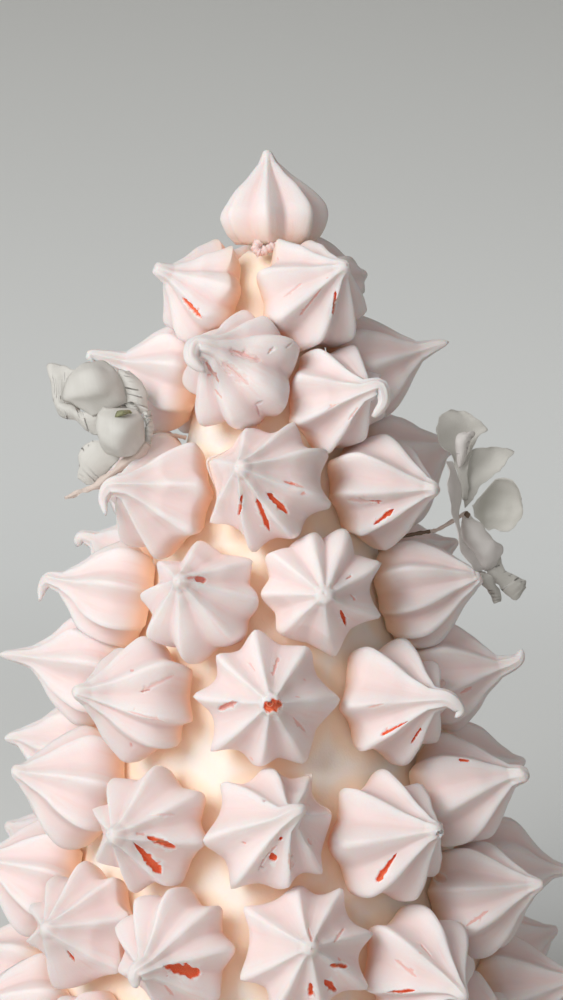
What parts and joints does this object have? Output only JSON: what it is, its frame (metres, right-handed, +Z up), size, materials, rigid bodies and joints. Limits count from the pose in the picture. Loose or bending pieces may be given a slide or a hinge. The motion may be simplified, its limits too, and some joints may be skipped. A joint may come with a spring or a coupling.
{
  "type": "meringue tower",
  "caption": "Tall cone-shaped dessert tower of pale pink star-piped meringue kisses set round a smooth cream cone, with white flowers tucked between them.",
  "frame": {"origin": "middle of the flat foot that the tower stands on", "axes": "+Z up along the cone's axis, -Y towards the front that shows best"},
  "size_m": [0.2285, 0.2294, 0.3282],
  "materials": {
    "meringue": "dry matte meringue, pale pink, deeper pink in the grooves",
    "cream_core": "smooth satin cream icing",
    "petals": "thin dry white petals, slightly see-through"
  },
  "bodies": {
    "root": {"core": "cream_core", "flower_left": "petals", "flower_right": "petals", "kiss_1_01": "meringue", "kiss_1_02": "meringue", "kiss_1_03": "meringue", "kiss_1_04": "meringue", "kiss_2_01": "meringue", "kiss_2_02": "meringue", "kiss_2_03": "meringue", "kiss_2_04": "meringue", "kiss_2_05": "meringue", "kiss_3_01": "meringue", "kiss_3_02": "meringue", "kiss_3_03": "meringue", "kiss_3_04": "meringue", "kiss_3_05": "meringue", "kiss_3_06": "meringue", "kiss_3_07": "meringue", "kiss_4_01": "meringue", "kiss_4_02": "meringue", "kiss_4_03": "meringue", "kiss_4_04": "meringue", "kiss_4_05": "meringue", "kiss_4_06": "meringue", "kiss_4_07": "meringue", "kiss_4_08": "meringue", "kiss_5_01": "meringue", "kiss_5_02": "meringue", "kiss_5_03": "meringue", "kiss_5_04": "meringue", "kiss_5_05": "meringue", "kiss_5_06": "meringue", "kiss_5_07": "meringue", "kiss_5_08": "meringue", "kiss_5_09": "meringue", "kiss_6_01": "meringue", "kiss_6_02": "meringue", "kiss_6_03": "meringue", "kiss_6_04": "meringue", "kiss_6_05": "meringue", "kiss_6_06": "meringue", "kiss_6_07": "meringue", "kiss_6_08": "meringue", "kiss_6_09": "meringue", "kiss_6_10": "meringue", "kiss_6_11": "meringue", "kiss_7_01": "meringue", "kiss_7_02": "meringue", "kiss_7_03": "meringue", "kiss_7_04": "meringue", "kiss_7_05": "meringue", "kiss_7_06": "meringue", "kiss_7_07": "meringue", "kiss_7_08": "meringue", "kiss_7_09": "meringue", "kiss_7_10": "meringue", "kiss_7_11": "meringue", "kiss_7_12": "meringue", "kiss_apex": "meringue"}
  },
  "joints": []
}
